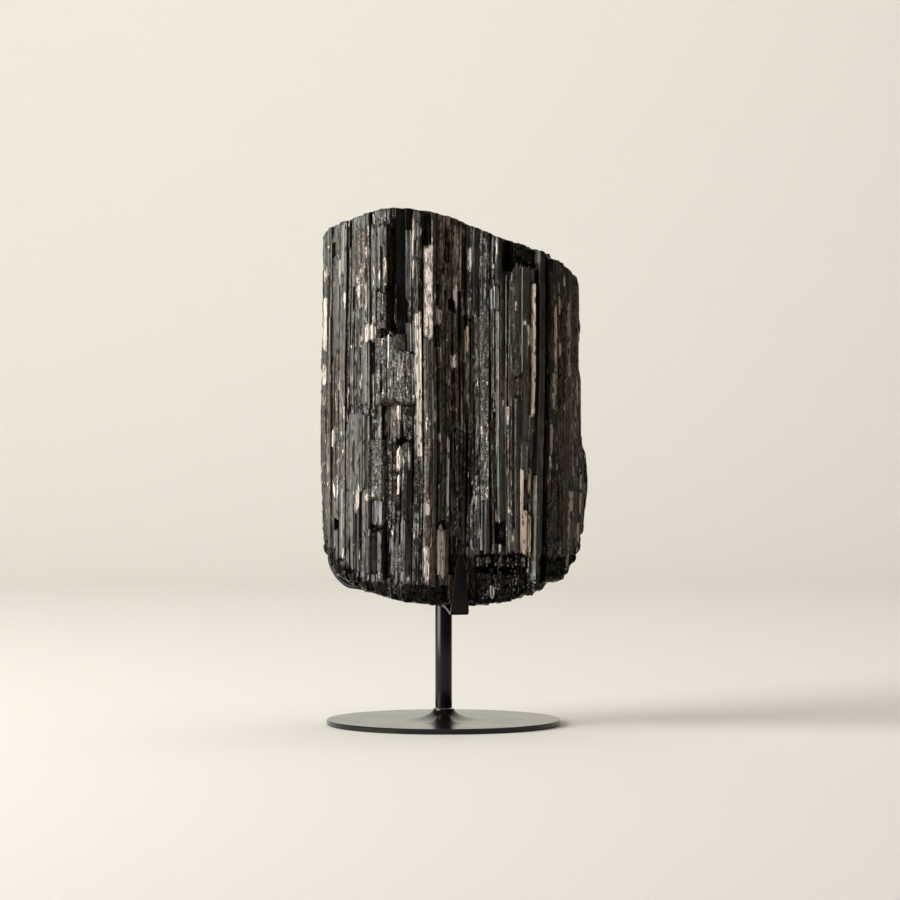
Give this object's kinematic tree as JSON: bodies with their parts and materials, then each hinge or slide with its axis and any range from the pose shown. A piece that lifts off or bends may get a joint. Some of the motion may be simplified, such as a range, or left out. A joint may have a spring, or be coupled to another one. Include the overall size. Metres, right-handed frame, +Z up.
{
  "type": "mineral specimen on stand",
  "caption": "Upright log of fused black tourmaline crystals, cradled by bent steel prongs on a slim round post with a flared disc base.",
  "frame": {"origin": "centre of the disc base's underside, on the post's axis", "axes": "+Z up along the post, -Y towards the front of the specimen, +X to the right seen from the front"},
  "size_m": [0.1716, 0.15, 0.3299],
  "materials": {
    "stone": "glossy to satin black crystal with pale mica streaks",
    "steel": "satin black lacquer"
  },
  "bodies": {
    "root": {"base": "steel", "post": "steel", "cradle_hub": "steel", "front_prong": "steel", "left_prong": "steel", "back_prong": "steel", "tourmaline": "stone"}
  },
  "joints": []
}
